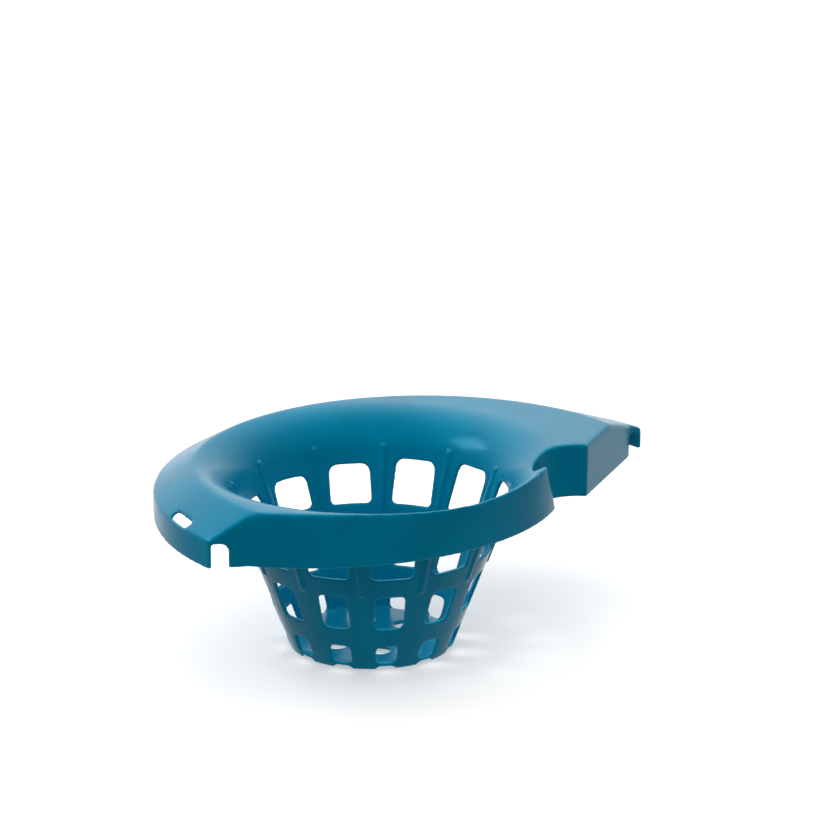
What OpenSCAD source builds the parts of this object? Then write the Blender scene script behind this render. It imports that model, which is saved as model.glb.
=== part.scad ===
// Wringer insert for a round mop bucket: one moulding in tinted plastic.
// A tapering strainer basket hangs from a flat top.  On the back half the top slopes
// down to a skirt that hooks over the bucket rim.  On the open side it ends in an
// upright wall, with a half-round notch where the mop handle or the spout goes.
// The moulding is written as its named regions.  They meet face to face.
//
// Origin: the middle of the basket foot, on the floor.  +Z is up.  +X runs along the
// chord between the two rim arches, and the open side faces -Y.

/* [Basket] */
// height of the flat top above the floor
top_h = 105; // [92:1:125]
// outside diameter of the foot
foot_d = 89; // [76:1:104]
// inside diameter of the cone, carried straight on up to the height of the flat top
mouth_d = 163; // [146:1:164]
// radius of the flare that carries the cone over into the flat top
flare_r = 30; // [20:1:34]
// thickness of the plastic
wall = 2.2; // [1.8:0.1:2.6]
// windows in each of the three rows
windows = 12; // [8:1:14]
// share of each 1/windows turn that the widest (top) windows take
window_share = 0.66; // [0.45:0.01:0.72]
// corner radius of the windows
window_corner = 2.7; // [1:0.1:3.6]
// corner radius at the top of the top row
crown_corner = 4.2; // [1:0.1:6]

/* [Bucket rim] */
// outside diameter of the bucket rim that the skirt hooks over
rim_d = 300; // [290:1:330]
// play between the rim and the skirt, on the radius
rim_play = 0.9; // [0.5:0.1:2]
// depth of the skirt below the crease
skirt_h = 15; // [10:0.5:18]
// height from the crease up to the flat top
slope_h = 14.5; // [8:0.5:20]
// width of the arch that the rim passes through, at each end of the skirt
arch_w = 7.8; // [6.5:0.1:12]
// height of those arches above the skirt's lower edge
arch_h = 13; // [9:0.5:14]
// how much higher the skirt's lower edge is at its right hand end
skirt_rise = 3; // [0:0.5:5]

/* [Top] */
// diameter of the flat top's round edge
crown_d = 244; // [230:1:250]
// radius of the curved wall on the open side
front_r = 135; // [125:1:160]
// gap between the curved wall and the mouth, where they come closest
front_gap = 6; // [5:0.5:12]
// radius of the half-round notch
notch_r = 26; // [20:1:30]
// length of the slot near each end of the slope
slot_l = 19; // [14:1:24]
// width of that slot
slot_w = 5; // [4:0.5:7]

/* [Drain] */
// holes in the ring on the floor of the basket
drain_holes = 6; // [4:1:8]
// diameter of each drain hole
drain_d = 12; // [6:0.5:14]

/* [Hidden] */
$fn = 128;
e = 0.5;                                     // overlap of cutting shapes
far = 400;                                   // further out than anything here
teal = [0.0, 0.39, 0.52];
foot_r = foot_d / 2;
mouth_r = mouth_d / 2;
// the cone: slope of its side, and its wall measured level
m0 = (mouth_r + wall - foot_r) / top_h;
wall_x = wall * sqrt(1 + m0 * m0);
m = (mouth_r + wall_x - foot_r) / top_h;
lean = atan(m);
function ro(z) = foot_r + m * z;             // outside radius of the cone
function ri(z) = ro(z) - wall_x;             // inside radius of the cone
// flare: it touches the cone at flare_z and the flat top at flat_r
under = top_h - wall;                        // under side of the flat top
flare_z = top_h - flare_r + flare_r * sin(lean);
flat_r = ri(flare_z) + flare_r * cos(lean);
ring_z = flare_z - wall * sin(lean);         // level joint between the cone and the flare
// bucket circle: centre and radii
bx = 26;
by = -26;
skirt_r = rim_d / 2 + rim_play + wall;       // outside of the skirt
crease_z = top_h - slope_h;
edge_z = crease_z - skirt_h;                 // lower edge of skirt and walls
skirt_short = 4;                             // the skirt stops this far short of a half turn
end_y = by + skirt_short;
// flat top: its round edge is off the bucket's centre by a share of the slope's width,
// so the slope is wider at the right hand end
slope_w = skirt_r - crown_d / 2;
cx = bx - slope_w * 0.3;
cy = by + slope_w * 0.065;
// curved wall
front_y = -(mouth_r + front_gap);
front_cy = front_y + front_r;
corner_a = 53;                               // where it leaves the arc on the left
// notch: its centre stands outside the curved wall, so it moves when that wall does
notch_way = -56.4;                           // direction from the middle of the wall's circle
notch_out = front_r + 0.55 * notch_r;        // and distance from there
notch_x = notch_out * cos(notch_way);
notch_y = front_cy + notch_out * sin(notch_way);
lip_x = notch_x - notch_r * 0.75;            // the curved wall's corner at the notch
lip_y = notch_y + notch_r * 0.31;
// straight wall, from the notch to the right hand arch
flat_step = 0.7;                             // its end stands this far in front of the skirt's
flat_end_x = bx + skirt_r - wall - arch_w;
flat_end_y = end_y - flat_step;
start_a = 41;                                // direction from the notch's centre to its start
flat_run = [flat_end_x - notch_x - notch_r * cos(start_a),
            flat_end_y - notch_y - notch_r * sin(start_a)];
flat_a = atan2(flat_run[1], flat_run[0]);
flat_len = norm(flat_run);
tongue_w = 12;                               // its lower edge runs on past that corner,
// and climbs back to it where the flare is this high on its under side
tip_z = top_h - flare_r + sqrt(pow(flare_r - wall, 2) - pow(flat_r - norm([lip_x, lip_y]), 2));
// window rows: heights above the floor
foot_gap = 1.6;                              // height of the gaps between the feet
row1_lo = foot_gap + 1.8;
row1_top = 0.137 * top_h;
row2_lo = 0.246 * top_h;
row2_hi = 0.438 * top_h;
row3_lo = 0.547 * top_h;
row3_tilt = 0.058 * top_h;                   // the top row is taller on one side,
row3_a = -30;                                // in this direction
row3_hi = ring_z - 0.75 - row3_tilt;         // and stays just below the flare
pitch = 360 / windows;
half3 = pitch * window_share / 2;
half2 = half3 * 0.84;                        // lower rows take less of the turn
half1 = half3 * 0.72;
floor_z = foot_gap;                          // under side of the basket floor
ridge_w = 2.6;                               // width of a pillar's ridge
ridge_t = wall + 2;                          // and its depth, right through the wall
ridge_z = [row2_hi + 2, row3_hi + 10];       // heights it runs between
ring_r = 0.55 * foot_r;                      // radius of the ring of drain holes
slot_a = 75.5;                               // slots: angle each side of +Y, seen from the bucket
slot_in = 0.6;                               // and their distance in from the skirt's face

// ---------- plan shapes, all seen from above ----------

// the outline before the notch is cut, drawn d inside its edge on the open side and back
// inside the skirt's face
module outline(d = 0, back = 0) {
  difference() {
    translate([bx, by]) circle(r = skirt_r - back, $fn = 256);
    difference() {
      polygon([[-far, -far], [-far, end_y + d], end_point(d), arc_point(d),
               flat_point(-notch_r * 0.5, d), flat_point(flat_stop(d), d),
               [far, end_y + d], [far, -far]]);
      translate([0, front_cy]) circle(r = front_r - d, $fn = 256);
    }
  }
}
// everything the top covers
module plan() {
  difference() {
    outline();
    difference() {
      translate([notch_x, notch_y]) circle(r = notch_r);
      translate([lip_x - far, -far]) square([far, far + lip_y]);
    }
  }
}
// the straight run from the end of the skirt to the arc, d inside its face
arc_end = [-(front_r - 1) * sin(corner_a), front_cy - (front_r - 1) * cos(corner_a)];
skirt_end = [bx - skirt_r - 1, end_y];
run = (arc_end - skirt_end) / norm(arc_end - skirt_end);
function end_point(d) = skirt_end + d * [-run[1], run[0]];
function arc_point(d) = arc_end + d * [-run[1], run[0]];
// a point on the straight wall, s along it from the notch and d inside its face
function flat_point(s, d) = [
  flat_end_x - (flat_len - s) * cos(flat_a) - d * sin(flat_a),
  flat_end_y - (flat_len - s) * sin(flat_a) + d * cos(flat_a)];
// how far along it meets the end of the skirt
function flat_stop(d) = flat_len + (flat_step + d * (1 - cos(flat_a))) / sin(flat_a);

// which part of the edge is which wall, left or right of the notch
module side_zone(side) {
  difference() {
    translate([side < 0 ? notch_x - far : notch_x, -far]) square([far, far + end_y + wall]);
    translate([notch_x, notch_y]) circle(r = notch_r + wall);
  }
}

// ---------- the surface of the slope ----------

// solid under the slope: a leaning cone from the crease circle to the crown circle,
// carried on down as a drum to depth z0, all lowered by d
module under_slope(d = 0, z0 = 0) {
  translate([0, 0, -d]) hull() {
    translate([cx, cy, top_h - 0.01]) cylinder(h = 0.01, d = crown_d, $fn = 180);
    translate([bx, by, crease_z - z0]) cylinder(h = max(z0, 0.01), r = skirt_r, $fn = 180);
  }
}
// points of the flare's upper face, or t below it, from the flat top down to the cone
flare_steps = 12;
function flare_arc(t) = [for (i = [0:flare_steps]) let (a = i / flare_steps * (90 - lean))
  [flat_r - (flare_r - t) * sin(a), top_h - flare_r + (flare_r - t) * cos(a)]];
// the air above the flare's upper face
module mouth_air() {
  rotate_extrude($fn = 180)
    polygon(concat(flare_arc(0), [[0, flare_arc(0)[flare_steps][1]], [0, top_h + 10],
                                  [flat_r, top_h + 10]]));
}
// everything above the under side of the flare and of the flat top
module above_under() {
  rotate_extrude($fn = 180)
    polygon(concat(flare_arc(wall), [[0, flare_arc(wall)[flare_steps][1]], [0, top_h + 10],
                                     [far, top_h + 10], [far, under]]));
}
// rim arch: a way through the wall along Y, next to the skirt, with its other top
// corner rounded.  side is -1 for the left arch and 1 for the right one
module arch(side) {
  r = arch_w * 0.6;
  translate([bx, end_y - 30, 0]) mirror([side < 0 ? 1 : 0, 0, 0])
    translate([skirt_r - wall - arch_w, 0, edge_z]) {
      translate([0, 0, -e]) cube([arch_w + wall, 60, arch_h - r + e]);
      translate([r, 0, 0]) cube([arch_w + wall - r, 60, arch_h]);
      translate([r, 0, arch_h - r]) rotate([-90, 0, 0]) cylinder(r = r, h = 60, $fn = 48);
    }
}

// ---------- basket ----------

// the corner of a window: points round a quarter turn of radius r from angle a0
function corner(x, y, r, a0) = [for (i = [0:4]) [x + r * cos(a0 + i * 22.5),
                                                 y + r * sin(a0 + i * 22.5)]];

// one window, cut outwards along +X: half angle a at its foot, from z1 to z2, with its
// upper corners of radius r2.  Its sides are upright, and the pillars widen upwards
module window(a, z1, z2, r2 = window_corner) {
  r1 = window_corner;
  half = ro(max(z1, 0)) * sin(a);
  u = ri(z1) * 0.8;
  translate([u, 0, 0]) rotate([90, 0, 90]) linear_extrude(height = ro(z2) + 2 * wall - u)
    polygon(concat(corner(r1 - half, z1 + r1, r1, 180), corner(half - r1, z1 + r1, r1, 270),
                   corner(half - r2, z2 - r2, r2, 0), corner(r2 - half, z2 - r2, r2, 90)));
}

// a stiffening ridge up one pillar, standing proud inside and outside
module ridge() {
  z1 = ridge_z[0];
  translate([(ro(z1) + ri(z1)) / 2, 0, z1]) rotate([0, lean, 0])
    translate([-ridge_t / 2, -ridge_w / 2, 0])
      cube([ridge_t, ridge_w, (ridge_z[1] - z1) / cos(lean)]);
}

module basket_wall() {
  color(teal) difference() {
    union() {
      difference() {
        cylinder(h = ring_z, r1 = foot_r, r2 = ro(ring_z));
        translate([0, 0, -e]) cylinder(h = ring_z + 2 * e, r1 = ri(-e), r2 = ri(ring_z + e));
      }
      for (i = [0:windows - 1]) rotate([0, 0, (i + 0.5) * pitch]) ridge();
    }
    for (i = [0:windows - 1]) rotate([0, 0, i * pitch]) {
      window(half1, -3 * window_corner, foot_gap);
      window(half1, row1_lo, row1_top);
      window(half2, row2_lo, row2_hi);
      window(half3, row3_lo, row3_hi + row3_tilt * cos(i * pitch - row3_a), crown_corner);
    }
  }
}

module basket_floor() {
  color(teal) difference() {
    translate([0, 0, floor_z]) cylinder(h = wall, r1 = ri(floor_z), r2 = ri(floor_z + wall));
    cylinder(h = 3 * wall + floor_z, d = drain_d);
    for (i = [0:drain_holes - 1]) rotate([0, 0, i * 360 / drain_holes])
      translate([ring_r, 0, 0]) cylinder(h = 3 * wall + floor_z, d = drain_d);
  }
}

// ---------- top ----------

module top_plan() {
  intersection() {
    plan();
    translate([cx, cy]) circle(d = crown_d, $fn = 256);
  }
}
// the flare, from the cone out to the flat top or to the edge, whichever comes first
module mouth_flare() {
  color(teal) intersection() {
    rotate_extrude($fn = 180)
      polygon(concat([for (i = [flare_steps:-1:0]) flare_arc(wall)[i]], flare_arc(0),
                     [[ri(ring_z), ring_z]]));
    translate([0, 0, ring_z - e]) linear_extrude(height = top_h - ring_z + 2 * e) top_plan();
  }
}
module level_top() {
  translate([0, 0, under]) linear_extrude(height = wall) difference() {
    intersection() {
      top_plan();
      children();
    }
    circle(r = flat_r, $fn = 180);
  }
}
module flat_top() { color(teal) level_top() translate([0, -far]) square([far, 2 * far]); }
module corner_top() { color(teal) level_top() translate([-far, -far]) square([far, 2 * far]); }

module slope() {
  color(teal) difference() {
    intersection() {
      under_slope();
      linear_extrude(height = top_h + 1) plan();
    }
    under_slope(wall, 30);
    translate([cx, cy, under]) cylinder(h = wall + e, d = crown_d, $fn = 256);
    mouth_air();
    for (s = [-1, 1]) translate([bx, by, 0]) rotate([0, 0, 90 - s * slot_a])
      translate([skirt_r - slot_in - slot_w, -slot_l / 2, edge_z])
        cube([slot_w, slot_l, 2 * slope_h + skirt_h]);
  }
}

module skirt() {
  color(teal) difference() {
    translate([0, 0, edge_z]) linear_extrude(height = skirt_h) intersection() {
      difference() {
        translate([bx, by]) circle(r = skirt_r, $fn = 256);
        translate([bx, by]) circle(r = skirt_r - wall, $fn = 256);
      }
      translate([-far, end_y]) square([2 * far, far]);
    }
    // its lower edge climbs towards the right hand end
    translate([bx - skirt_r, 0, edge_z]) rotate([0, -atan(skirt_rise / (2 * skirt_r)), 0])
      translate([-far, -far, -far]) cube([3 * far, 2 * far, far]);
  }
}

// ---------- walls on the open side ----------

// the upright wall on one side of the notch, up to the under side of the top
module side_wall(side) {
  difference() {
    intersection() {
      translate([0, 0, edge_z]) linear_extrude(height = top_h - edge_z)
        intersection() {
          difference() {
            outline(0, wall);
            outline(wall, -e);
          }
          side_zone(side);
        }
      under_slope(wall, 60);
    }
    above_under();
    arch(side);
  }
}
module front_wall() { color(teal) side_wall(-1); }
module straight_wall() { color(teal) side_wall(1); }

module notch_wall() {
  color(teal) difference() {
    intersection() {
      translate([notch_x, notch_y, edge_z]) difference() {
        cylinder(r = notch_r + wall, h = top_h - edge_z);
        translate([0, 0, -e]) cylinder(r = notch_r, h = top_h - edge_z + 2 * e);
      }
      linear_extrude(height = top_h) outline(0, wall);
    }
    above_under();
  }
}
// the curved wall runs on past the notch wall, at first to its full height, and then as
// a slanting tongue
module tongue() {
  color(teal) difference() {
    intersection() {
      translate([0, front_cy, edge_z]) difference() {
        cylinder(r = front_r, h = top_h - edge_z, $fn = 256);
        translate([0, 0, -e]) cylinder(r = front_r - wall, h = top_h - edge_z + 2 * e, $fn = 256);
      }
      translate([notch_x, notch_y, 0]) cylinder(r = notch_r, h = top_h);
      rotate([90, 0, 0]) linear_extrude(height = far)
        polygon([[lip_x - notch_r, edge_z - e], [lip_x + tongue_w, edge_z - e],
                 [lip_x, tip_z], [lip_x, top_h + e], [lip_x - notch_r, top_h + e]]);
    }
    above_under();
  }
}

basket_wall();
basket_floor();
mouth_flare();
flat_top();
corner_top();
slope();
skirt();
front_wall();
tongue();
notch_wall();
straight_wall();
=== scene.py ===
# %% [markdown]
# # A mop bucket wringer in tinted plastic
#
# The object is one injection moulding: a tapering strainer basket with three rows of
# windows, a flat top round its mouth, and a sloping flange with a skirt that hooks over
# the rim of a round bucket.  A mop head is pressed down in the basket to wring it.
#
# Its sizes are fixed already by a CAD model, which is loaded here as the frame.  This
# lesson turns that plain model into a moulding with soft edges and a real plastic finish,
# then lights it on a pale floor.  Everything is in metres, and +Z is up.

# %% Load the frame
import math

import bmesh
import bpy
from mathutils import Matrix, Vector


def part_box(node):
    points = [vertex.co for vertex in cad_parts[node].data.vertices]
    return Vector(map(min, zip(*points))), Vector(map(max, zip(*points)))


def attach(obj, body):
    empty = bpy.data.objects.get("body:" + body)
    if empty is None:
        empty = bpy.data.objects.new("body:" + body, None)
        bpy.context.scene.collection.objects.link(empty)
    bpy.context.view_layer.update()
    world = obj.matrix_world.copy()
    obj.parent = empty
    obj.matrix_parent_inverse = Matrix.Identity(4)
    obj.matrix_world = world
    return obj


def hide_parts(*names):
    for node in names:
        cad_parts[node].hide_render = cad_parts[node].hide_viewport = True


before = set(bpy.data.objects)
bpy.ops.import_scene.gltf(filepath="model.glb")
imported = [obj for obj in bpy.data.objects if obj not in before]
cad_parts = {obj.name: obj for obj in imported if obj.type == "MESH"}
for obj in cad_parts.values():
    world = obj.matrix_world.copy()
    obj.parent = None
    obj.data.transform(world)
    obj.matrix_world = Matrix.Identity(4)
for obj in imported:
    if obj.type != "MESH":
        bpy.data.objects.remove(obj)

MM = 0.001
scene = bpy.context.scene
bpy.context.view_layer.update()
print("CAD nodes:", sorted(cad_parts))

# %% [markdown]
# ## Where the camera stands
#
# The camera comes first, because it decides how much detail each face needs.  A long lens
# from two metres away keeps the round shapes round, which is how a small product is
# usually shown.  The camera looks down by about twenty degrees from the front left, so the
# inside of the basket, the notch and the flange all show at once.
#
# An aim point could be given by a constraint to an empty.  A plain rotation that is worked
# out from the line of sight does the same and leaves nothing else in the scene.

# %% Camera
CAMERA_AZIMUTH = -39.8      # degrees, 0 looks along +Y
CAMERA_ELEVATION = 20.2     # degrees above the floor, from the basket's foot
CAMERA_DISTANCE = 2.175     # from the basket's foot
AIM = Vector((0.0175, -0.0146, 0.1289))
LENS = 174.1                # millimetres
SENSOR = 36                 # millimetres across
SIGHT_LIMIT = 50            # nothing further off than this is drawn


def add_camera():
    a, el = math.radians(CAMERA_AZIMUTH), math.radians(CAMERA_ELEVATION)
    place = CAMERA_DISTANCE * Vector((math.sin(a) * math.cos(el),
                                      -math.cos(a) * math.cos(el),
                                      math.sin(el)))
    data = bpy.data.cameras.new("camera")
    data.lens = LENS
    data.sensor_width = SENSOR
    data.clip_end = SIGHT_LIMIT
    camera = bpy.data.objects.new("camera", data)
    camera.location = place
    camera.rotation_euler = (AIM - place).to_track_quat("-Z", "Y").to_euler()
    scene.collection.objects.link(camera)
    scene.camera = camera
    return camera


camera = add_camera()
print("camera at", [round(v, 3) for v in camera.location])

# %% [markdown]
# ## One skin over the regions
#
# The CAD model gives the moulding as eleven regions that meet face to face, with sharp edges.
# On the real object there are no joints between them, and every edge is rounded, because
# plastic doesn't fill a sharp corner and a sharp steel edge in the mould would wear.
#
# The regions could be joined by booleans and their edges bevelled.  Bevels need clean
# loops of faces, and a tessellated cone with 36 windows in it doesn't have them.  A voxel
# remesh is the other way: the copies are thrown together, covered by one closed skin of
# small squares, and the skin is smoothed.  Smoothing rounds each edge by about its voxel
# size, evenly, wherever the edge runs.

# %% Join copies of the regions
REGIONS = sorted(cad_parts)


def region_copies(names):
    """One mesh that holds a copy of each region, in the shared frame."""
    together = bmesh.new()
    for name in names:
        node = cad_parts[name]
        copied = node.data.copy()
        copied.transform(node.matrix_world)
        together.from_mesh(copied)
        bpy.data.meshes.remove(copied)
    mesh = bpy.data.meshes.new("wringer_moulding")
    together.to_mesh(mesh)
    together.free()
    return mesh


moulding = bpy.data.objects.new("wringer_moulding", region_copies(REGIONS))
scene.collection.objects.link(moulding)
print("regions joined:", len(REGIONS), "with", len(moulding.data.polygons), "faces")

# %% [markdown]
# ## Skin and soften
#
# Remesh makes the skin, and Smooth rounds it.  The windows have a small radius, because a
# steel core shapes each of them, so the first round of smoothing is a short one.  It goes
# over the whole skin.

# %% Remesh and smooth
VOXEL = 0.70 * MM
SMOOTH_SHARE = 0.5          # how far each step moves a vertex to the mean of its neighbours
WINDOW_STEPS = 6


def apply_modifier(obj, kind, **settings):
    """Adds one modifier, applies it and takes it off again."""
    modifier = obj.modifiers.new(kind.lower(), kind)
    for key, value in settings.items():
        setattr(modifier, key, value)
    graph = bpy.context.evaluated_depsgraph_get()
    done = bpy.data.meshes.new_from_object(obj.evaluated_get(graph))
    before = obj.data
    obj.modifiers.remove(modifier)
    obj.data = done
    bpy.data.meshes.remove(before)
    print(f"{kind.lower()}: {len(done.polygons)} faces")


apply_modifier(moulding, "REMESH", mode="VOXEL", voxel_size=VOXEL, adaptivity=0.0)
apply_modifier(moulding, "SMOOTH", factor=SMOOTH_SHARE, iterations=WINDOW_STEPS)

# %% [markdown]
# ## Softer rims
#
# The rims, the crease of the flange and the edges of the notch have a larger radius than the
# windows, so that hands and mop strings slide over them.  They could be a separate mesh, but
# then a seam would show.  Here a second, longer round of smoothing is limited by a vertex
# group to the part above the windows, and it fades in over a few millimetres of height.

# %% Smooth the rims
RIM_STEPS = 40
RIM_BLEND = 3 * MM          # height over which the second round comes in


def mark_rims(obj, start, full):
    """A vertex group that rises from 0 to 1 between the heights start and full."""
    group = obj.vertex_groups.new(name="rims")
    marked = 0
    for v in obj.data.vertices:
        share = min(1.0, max(0.0, (v.co.z - start) / (full - start)))
        if share > 0:
            group.add([v.index], share, "REPLACE")
            marked += 1
    return marked


window_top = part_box("basket_wall")[1][2]
print("vertices on the rims:", mark_rims(moulding, window_top, window_top + RIM_BLEND))
apply_modifier(moulding, "SMOOTH", factor=SMOOTH_SHARE, iterations=RIM_STEPS,
               vertex_group="rims")
moulding.data.shade_smooth()
moulding.data.name = "wringer_moulding"

# %% [markdown]
# ## A helper for materials
#
# A material is a graph of nodes.  It could be drawn by hand in the shader editor, but code
# that adds a node and its links in one line is easier to read back later.  The helper below
# knows only five moves: add a node, link two sockets, make a noise, spread a value over a
# new range, and blend two colours.

# %% Material helper
class Recipe:
    """A small helper that adds nodes to a material and links them by name."""

    def __init__(self, name):
        self.material = bpy.data.materials.new(name)
        self.material.use_nodes = True
        self.tree = self.material.node_tree
        self.shader = self.tree.nodes["Principled BSDF"]

    def add(self, kind, **values):
        node = self.tree.nodes.new(kind)
        for key, value in values.items():
            if hasattr(node, key):
                setattr(node, key, value)
            else:
                node.inputs[key.replace("_", " ").title()].default_value = value
        return node

    def link(self, out, into):
        self.tree.links.new(out, into)

    def noise(self, scale, detail=3.0, stretch=None):
        """A noise texture in object space; stretch draws it out along one axis."""
        place = self.add("ShaderNodeTexCoord").outputs["Object"]
        if stretch:
            mapping = self.add("ShaderNodeMapping")
            mapping.inputs["Scale"].default_value = stretch
            self.link(place, mapping.inputs["Vector"])
            place = mapping.outputs["Vector"]
        node = self.add("ShaderNodeTexNoise", scale=scale, detail=detail)
        self.link(place, node.inputs["Vector"])
        return node.outputs["Fac"]

    def spread(self, value, low, high, to_low, to_high):
        """Maps value from low..high to to_low..to_high, held at the ends."""
        node = self.add("ShaderNodeMapRange")
        self.link(value, node.inputs["Value"])
        for key, number in (("From Min", low), ("From Max", high),
                            ("To Min", to_low), ("To Max", to_high)):
            node.inputs[key].default_value = number
        return node.outputs["Result"]

    def blend(self, share, first, second):
        """A colour between first and second."""
        node = self.add("ShaderNodeMix")
        node.data_type = "RGBA"
        self.link(share, node.inputs["Factor"])
        for key, colour in (("A", first), ("B", second)):
            socket = next(s for s in node.inputs if s.name == key and s.type == "RGBA")
            if isinstance(colour, tuple):
                socket.default_value = colour
            else:
                self.link(colour, socket)
        return next(s for s in node.outputs if s.type == "RGBA")


print("material helper:", [name for name in vars(Recipe) if not name.startswith("_")])

# %% [markdown]
# ## The plastic
#
# The real finish is a blue-green plastic, tinted right through and polished by the mould.
# A close look finds four things on it: the colour wanders a little where the melt flowed,
# the face has a faint ripple like orange peel, handling has dulled it in fine streaks, and
# the thin rounded edges catch a highlight, which is painted here as a lighter base colour.
#
# Each of them is a noise texture or the mesh's own pointiness, so nothing depends on where
# the camera stands, but the lighter edges are a painted highlight in the base colour.  The
# reflection is tinted as well: straight on it is teal, which keeps the colour deep, and at a
# flat angle it turns white, as on any gloss plastic.

# %% Plastic material
TEAL_DEEP = (0.0, 0.232, 0.395, 1.0)
TEAL_BODY = (0.0, 0.270, 0.455, 1.0)
# painted highlight: the lighter colour that the convex edges are drawn towards
TEAL_EDGE_HIGHLIGHT = (0.0, 0.500, 0.640, 1.0)
GLOSS_TINT = (0.0, 0.55, 0.80, 1.0)
FLOW_SCALE = 22             # noise scales count the bumps in a metre
STREAK_SCALE = 60
STREAK_STRETCH = (1, 1, 9)
RIPPLE_SCALE = 420
NOISE_MIDDLE = (0.35, 0.65)     # the range that nearly all of a noise lies in
STREAK_MIDDLE = (0.35, 0.7)
EDGE_HIGHLIGHT_POINTINESS = (0.52, 0.60)  # 0.5 is flat, and more is a convex edge
EDGE_HIGHLIGHT_SHARE = 0.9
ROUGHNESS = (0.17, 0.26)
RIPPLE_STRENGTH = 0.10
RIPPLE_DEPTH = 0.2 * MM
PLASTIC_IOR = 1.44


def tinted_plastic():
    r = Recipe("tinted_plastic")
    flow = r.spread(r.noise(FLOW_SCALE, 2), *NOISE_MIDDLE, 0, 1)
    body = r.blend(flow, TEAL_DEEP, TEAL_BODY)
    # painted highlight: convex edges, found by pointiness, are drawn lighter in the base
    # colour
    edge_highlight = r.spread(r.add("ShaderNodeNewGeometry").outputs["Pointiness"],
                    *EDGE_HIGHLIGHT_POINTINESS, 0, EDGE_HIGHLIGHT_SHARE)
    r.link(r.blend(edge_highlight, body, TEAL_EDGE_HIGHLIGHT), r.shader.inputs["Base Color"])
    streaks = r.noise(STREAK_SCALE, 4, stretch=STREAK_STRETCH)
    r.link(r.spread(streaks, *STREAK_MIDDLE, *ROUGHNESS), r.shader.inputs["Roughness"])
    ripple = r.add("ShaderNodeBump", strength=RIPPLE_STRENGTH, distance=RIPPLE_DEPTH)
    r.link(r.noise(RIPPLE_SCALE, 2), ripple.inputs["Height"])
    r.link(ripple.outputs["Normal"], r.shader.inputs["Normal"])
    r.shader.inputs["IOR"].default_value = PLASTIC_IOR
    r.shader.inputs["Specular Tint"].default_value = GLOSS_TINT
    return r.material


moulding.data.materials.clear()
moulding.data.materials.append(tinted_plastic())
print("materials on the moulding:", [m.name for m in moulding.data.materials])

# %% [markdown]
# ## Hand the piece to the frame
#
# The new moulding takes the place of every CAD region.  It is fixed to the one body that
# the model has, because nothing on a wringer moves.

# %% Ride and replace
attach(moulding, "root")
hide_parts(*REGIONS)
print("the moulding stands for", len(REGIONS), "regions")

# %% [markdown]
# ## Floor
#
# A plain white floor, wide enough to fill the view.  A white floor throws a lot of light
# back up, which would wash out the deep colour of the plastic, so the floor here is seen
# by the camera and takes the shadow, but it doesn't light the object.  It glows a little,
# which keeps the shadow soft and pale.

# %% Floor
FLOOR_HALF = 6.0
FLOOR_DROP = 0.1 * MM       # a hair below the feet, so that the faces don't coincide
FLOOR_GLOW = 0.42
FLOOR_SHADES = ((0.86, 0.86, 0.86, 1), (0.90, 0.90, 0.90, 1))
FLOOR_ROUGHNESS = 0.7


def add_floor():
    mesh = bpy.data.meshes.new("floor")
    h = FLOOR_HALF
    mesh.from_pydata([(-h, -h, 0), (h, -h, 0), (h, h, 0), (-h, h, 0)], [], [(0, 1, 2, 3)])
    floor = bpy.data.objects.new("floor", mesh)
    scene.collection.objects.link(floor)
    r = Recipe("pale_floor")
    shade = r.blend(r.noise(3, 2), *FLOOR_SHADES)
    r.link(shade, r.shader.inputs["Base Color"])
    r.shader.inputs["Roughness"].default_value = FLOOR_ROUGHNESS
    r.shader.inputs["Emission Color"].default_value = (1, 1, 1, 1)
    r.shader.inputs["Emission Strength"].default_value = FLOOR_GLOW
    mesh.materials.append(r.material)
    floor.visible_diffuse = False
    floor.visible_glossy = False
    return floor


floor = add_floor()
floor.location.z = -FLOOR_DROP
print("floor is", 2 * FLOOR_HALF, "m wide")

# %% [markdown]
# ## Light
#
# Gloss plastic shows what stands round it.  A bright backdrop behind the object whitens
# each face that is seen at a flat angle, such as the top, and a large soft light overhead
# brings out the rounded edges.  The side towards the camera is left dim, so the faces
# that look at the camera keep their full colour.  The glow from below stands for what a
# pale floor throws back, since the floor itself was kept from lighting the object.
#
# Lamps could do this, but one glow all round, stronger in those three directions, gives
# softer edges to the highlights.  One softbox is added for a crisper light on the rims.

# %% Backdrop glow and softbox
LEVEL_SIGHT = Vector((AIM.x - camera.location.x, AIM.y - camera.location.y, 0)).normalized()
BACKDROP_RISE = 0.36        # how far the middle of the backdrop is above the level
BACKDROP_WAY = (LEVEL_SIGHT + Vector((0, 0, BACKDROP_RISE))).normalized()
FRONT_GLOW = 0.25           # the glow that is everywhere
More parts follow.
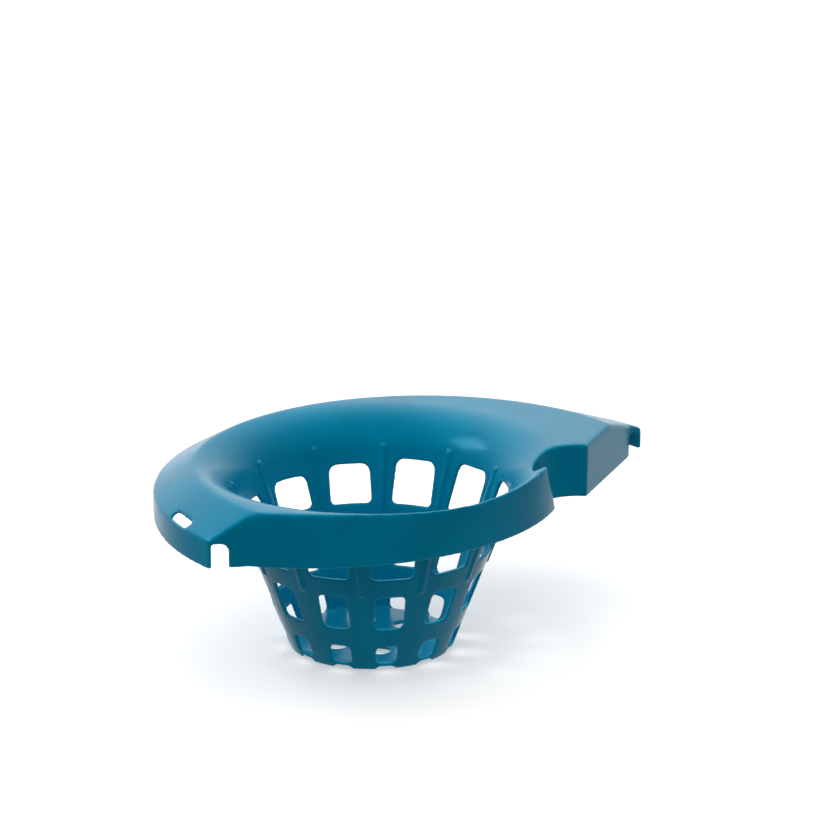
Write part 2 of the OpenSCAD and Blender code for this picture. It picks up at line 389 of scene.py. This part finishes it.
# direction of each glow, the cosines where it starts and where it is full, its strength
BACKDROP_GLOW = (BACKDROP_WAY, 0.30, 0.85, 0.72)
OVERHEAD_GLOW = ((0, 0, 1), 0.2, 0.9, 0.58)
BOUNCE_GLOW = ((0, 0, -1), 0.1, 0.9, 0.20)
SOFTBOX_PLACE = (-0.9, 1.1, 1.3)
SOFTBOX_AIM = (0, 0, 0.1)
SOFTBOX_SIZE = (0.8, 0.5)
SOFTBOX_WATTS = 8


def add_glow():
    world = bpy.data.worlds.new("glow")
    scene.world = world
    world.use_nodes = True
    tree = world.node_tree
    way = tree.nodes.new("ShaderNodeTexCoord").outputs["Generated"]
    total = None
    for axis, low, high, glow in (BACKDROP_GLOW, OVERHEAD_GLOW, BOUNCE_GLOW):
        along = tree.nodes.new("ShaderNodeVectorMath")
        along.operation = "DOT_PRODUCT"
        tree.links.new(way, along.inputs[0])
        along.inputs[1].default_value = axis
        rise = tree.nodes.new("ShaderNodeMapRange")
        rise.interpolation_type = "SMOOTHSTEP"
        tree.links.new(along.outputs["Value"], rise.inputs["Value"])
        for key, number in (("From Min", low), ("From Max", high), ("To Max", glow)):
            rise.inputs[key].default_value = number
        if total is None:
            rise.inputs["To Min"].default_value = FRONT_GLOW
            rise.inputs["To Max"].default_value = FRONT_GLOW + glow
            total = rise.outputs["Result"]
        else:
            both = tree.nodes.new("ShaderNodeMath")
            tree.links.new(total, both.inputs[0])
            tree.links.new(rise.outputs["Result"], both.inputs[1])
            total = both.outputs["Value"]
    tree.links.new(total, tree.nodes["Background"].inputs["Strength"])
    tree.nodes["Background"].inputs["Color"].default_value = (1, 1, 1, 1)


def add_softbox(name, place, aim, size, watts):
    data = bpy.data.lights.new(name, "AREA")
    data.shape = "RECTANGLE"
    data.size, data.size_y = size
    data.energy = watts
    box = bpy.data.objects.new(name, data)
    box.location = place
    box.rotation_euler = (Vector(aim) - Vector(place)).to_track_quat("-Z", "Y").to_euler()
    scene.collection.objects.link(box)


add_glow()
add_softbox("rim_softbox", SOFTBOX_PLACE, SOFTBOX_AIM, SOFTBOX_SIZE, SOFTBOX_WATTS)
scene.view_settings.view_transform = "Standard"
print("backdrop lies towards", [round(v, 2) for v in BACKDROP_WAY])
